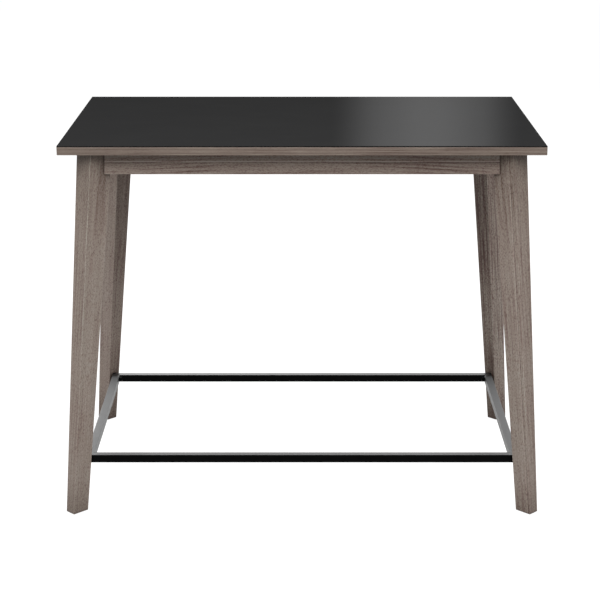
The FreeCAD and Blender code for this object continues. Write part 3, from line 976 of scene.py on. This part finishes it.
def grid_faces(rows, is_loop):
    """Quads between neighbouring rows and columns: the columns wrap, and a loop's rows too."""
    spans = np.arange(rows if is_loop else rows - 1)
    row, column = np.meshgrid(spans, np.arange(columns), indexing="ij")
    here, after = row * columns, (row + 1) % rows * columns
    beside = (column + 1) % columns
    corners = (here + column, here + beside, after + beside, after + column)
    return np.stack(corners, axis=-1).reshape(-1, 4)


def forge(node, shape, finish):
    """One piece from a grid for each solid of a node, welded and facing outward."""
    points, faces, count = [], [], 0
    for size in fixings[node]:
        heights, radii, is_loop = shape(size)
        points.append(place_grid(size, heights, radii))
        faces.append(grid_faces(len(heights), is_loop) + count)
        count += heights.size
    mesh = bpy.data.meshes.new(f"turned_{node}")
    mesh.from_pydata(np.concatenate(points).tolist(), [], np.concatenate(faces).tolist())
    welder = bmesh.new()
    welder.from_mesh(mesh)
    bmesh.ops.remove_doubles(welder, verts=welder.verts, dist=weld_gap)
    bmesh.ops.recalc_face_normals(welder, faces=welder.faces)
    welder.to_mesh(mesh)
    welder.free()
    mesh.polygons.foreach_set("use_smooth", np.ones(len(mesh.polygons), dtype=bool))
    mesh.set_sharp_from_angle(angle=sharp_angle)
    mesh.materials.append(finish)
    piece = bpy.data.objects.new(f"turned_{node}", mesh)
    bpy.context.scene.collection.objects.link(piece)
    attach(piece, "root")
    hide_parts(node)
    print(node, len(mesh.polygons), "faces")


forge("hanger_bolts", hanger_grid, zinc)
forge("hanger_nuts", nut_grid, zinc)
forge("hanger_washers", washer_grid, zinc)
for node in ("block_screws", "bracket_apron_screws", "bracket_top_screws"):
    forge(node, wood_screw, zinc)
forge("glide_screws", flat_screw, zinc)
forge("ring_screws", socket_screw, painted)

# %% [markdown]
# ## Floor and background
# The table was photographed on pure white. The floor glows almost white to the camera and to
# mirror rays, and the rest of its brightness is plain diffuse light, so the table's soft shadow
# stays. Rays that carry light between surfaces see only a grey floor, which keeps the underside
# dark as in the photograph. From below the floor is clear, so the underside can be looked at.

# %% Floor
floor_half = 30.0
floor_level = -0.0002
floor_glow = 0.905
floor_grey = 0.24


def seen_directly(tree):
    """1 for rays from the camera, a mirror or glass, else 0."""
    path = add(tree, "LightPath").outputs
    either = calc(tree, "MAXIMUM", path["Is Camera Ray"], path["Is Glossy Ray"])
    return calc(tree, "MAXIMUM", either, path["Is Transmission Ray"])


def studio_floor():
    """Diffuse grey plus a glow that only direct rays see; clear from below."""
    finish, tree, shader = open_finish("pale_floor")
    tree.nodes.remove(shader)
    grey = add(tree, "BsdfDiffuse", {"Color": (floor_grey, floor_grey, floor_grey, 1.0)}).outputs[0]
    glow = add(tree, "Emission", {"Strength": calc(tree, "MULTIPLY", seen_directly(tree), floor_glow)})
    lit = add(tree, "AddShader", {0: grey, 1: glow.outputs[0]}).outputs[0]
    below = add(tree, "NewGeometry").outputs["Backfacing"]
    clear = add(tree, "BsdfTransparent").outputs[0]
    mixed = add(tree, "MixShader", {0: below, 1: lit, 2: clear}).outputs[0]
    tree.links.new(mixed, tree.nodes["Material Output"].inputs["Surface"])
    return finish


def flat_card(name, corners, finish):
    """One four-cornered card with its finish, linked into the scene."""
    mesh = bpy.data.meshes.new(name)
    mesh.from_pydata(corners, [], [(0, 1, 2, 3)])
    mesh.materials.append(finish)
    card = bpy.data.objects.new(name, mesh)
    bpy.context.scene.collection.objects.link(card)
    return card


flat_card("floor", [(-floor_half, -floor_half, floor_level), (floor_half, -floor_half, floor_level),
                    (floor_half, floor_half, floor_level), (-floor_half, floor_half, floor_level)],
          studio_floor())
print("floor laid")

# %% World
sky_level = 0.41
world = bpy.data.worlds.new("white_studio")
world.use_nodes = True
sky = world.node_tree
strength = calc(sky, "MULTIPLY_ADD", seen_directly(sky), 1.0 - sky_level, sky_level)
fill(sky, sky.nodes["Background"], {"Color": (1.0, 1.0, 1.0, 1.0), "Strength": strength})
bpy.context.scene.world = world
bpy.context.scene.view_settings.view_transform = "Standard"
print("background white, light level", sky_level)

# %% [markdown]
# ## Lamps and cards
# Four big soft lamps light the sides, the front ones most. A polished black top shows the room
# more than its own colour, so two cards behind the table, seen only by mirror rays, shape what it
# and the ring reflect: a strip that makes the soft band of light on the right, and a graded card
# that lets the ring's top fade from left to right.

# %% Lamps
lamp_plan = {
    "front_left_lamp": ((-1.9, -3.4, 3.8), 136.0),
    "front_right_lamp": ((1.9, -3.4, 3.8), 136.0),
    "rear_left_lamp": ((-2.8, 3.0, 3.7), 100.0),
    "rear_right_lamp": ((2.8, 3.0, 3.7), 100.0),
}
lamp_side = 3.0
lamp_target = Vector((0.0, 0.0, 0.55))
for name, (place, power) in lamp_plan.items():
    lamp_data = bpy.data.lights.new(name, "AREA")
    lamp_data.shape = "SQUARE"
    lamp_data.size = lamp_side
    lamp_data.energy = power
    lamp = bpy.data.objects.new(name, lamp_data)
    lamp.location = place
    lamp.rotation_euler = (lamp_target - Vector(place)).to_track_quat("-Z", "Y").to_euler()
    lamp.visible_camera = False
    bpy.context.scene.collection.objects.link(lamp)
print(len(lamp_plan), "lamps")

# %% Cards behind the table
card_depth = 1.5
strip_rise = ((0.10, 0.33, 0.73), (0.28, 0.46, 0.27))
strip_fall = ((0.49, 0.77, 0.51), (0.67, 0.84, 0.49))
strip_heights = (1.20, 1.45)
strip_extra = (3.00, 2.47)
graded_base = 0.55
graded_reach = 0.7
graded_left = 1.80
graded_right = 0.58


def card_glow(name, build):
    """A glowing finish whose brightness is built from the place on the card, across it and up."""
    finish, tree, shader = open_finish(name)
    tree.nodes.remove(shader)
    apart = parts_of(tree, object_place(tree))
    light = add(tree, "Emission", {"Strength": build(tree, apart["X"], apart["Z"])}).outputs[0]
    tree.links.new(light, tree.nodes["Material Output"].inputs["Surface"])
    return finish


def mirror_card(name, left, right, low, high, finish, depth=card_depth):
    """A standing card that only mirror rays see, behind the table unless a depth is given."""
    card = flat_card(name, [(left, depth, low), (right, depth, low),
                            (right, depth, high), (left, depth, high)], finish)
    card.visible_camera = False
    card.visible_diffuse = False
    card.visible_shadow = False
    card.visible_transmission = False


def steps(tree, value, plan):
    """Smooth steps added up; each is where it starts, where it ends and its share of the whole."""
    total = 0.0
    for start, end, share in plan:
        total = calc(tree, "ADD", total, spread(tree, value, start, end, 0.0, share))
    return total


def strip_light(tree, across, height):
    """White, plus a bell of light: up on the strip's left, down on its right, a little less higher up."""
    remaining = calc(tree, "SUBTRACT", 1.0, steps(tree, across, strip_fall))
    bell = calc(tree, "MULTIPLY", steps(tree, across, strip_rise), remaining)
    return calc(tree, "MULTIPLY_ADD", bell, spread(tree, height, *strip_heights, *strip_extra), 1.0)


def graded_light(tree, across, height):
    """Dim near the top edge, and brighter lower down, most of all on the left and lowest down."""
    extra = spread(tree, across, -graded_reach, graded_reach, graded_left, graded_right)
    extra = calc(tree, "MULTIPLY", extra, spread(tree, height, 0.52, 0.64, 1.25, 1.0))
    lower = spread(tree, height, 0.66, 0.92, 1.0, 0.0)
    return calc(tree, "MULTIPLY_ADD", lower, extra, graded_base)


mirror_card("strip_card", left=-0.1, right=1.0, low=1.12, high=1.65,
            finish=card_glow("strip_glow", strip_light))
mirror_card("graded_card", left=-1.3, right=1.3, low=0.30, high=1.02,
            finish=card_glow("graded_glow", graded_light))
print("two cards stand", card_depth, "m behind the middle")

# %% [markdown]
# The side rails would mirror the rear legs and go dark towards their far ends, where the
# photograph shows an even grey. A photographer would slip a small fill card between rail and leg,
# out of the picture, and so does this cell: one just in front of each rear leg.

# %% Fill cards
rail_low, rail_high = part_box("rear_foot_rail")
rail_top = rail_high[2]
fill_gap = 0.004
fill_height = 0.35
fill_fade = 0.08


def fill_light(tree, across, height):
    """Dim at the rail and rising, and a little brighter on the left as the big card is."""
    level = spread(tree, across, -0.6, 0.6, 1.21, 0.81)
    return calc(tree, "MULTIPLY", level, spread(tree, height, rail_top, rail_top + fill_fade, 0.42, 1.0))


fill_glow = card_glow("fill_glow", fill_light)
for name in ("rear_left_leg", "rear_right_leg"):
    low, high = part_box(name)
    mirror_card(f"fill_card_{name}", low[0], high[0], rail_top + fill_gap, rail_top + fill_height, fill_glow,
                rail_low[1] - fill_gap)
print("fill cards stand just in front of the rear rail, from", round(rail_top, 3), "m up")
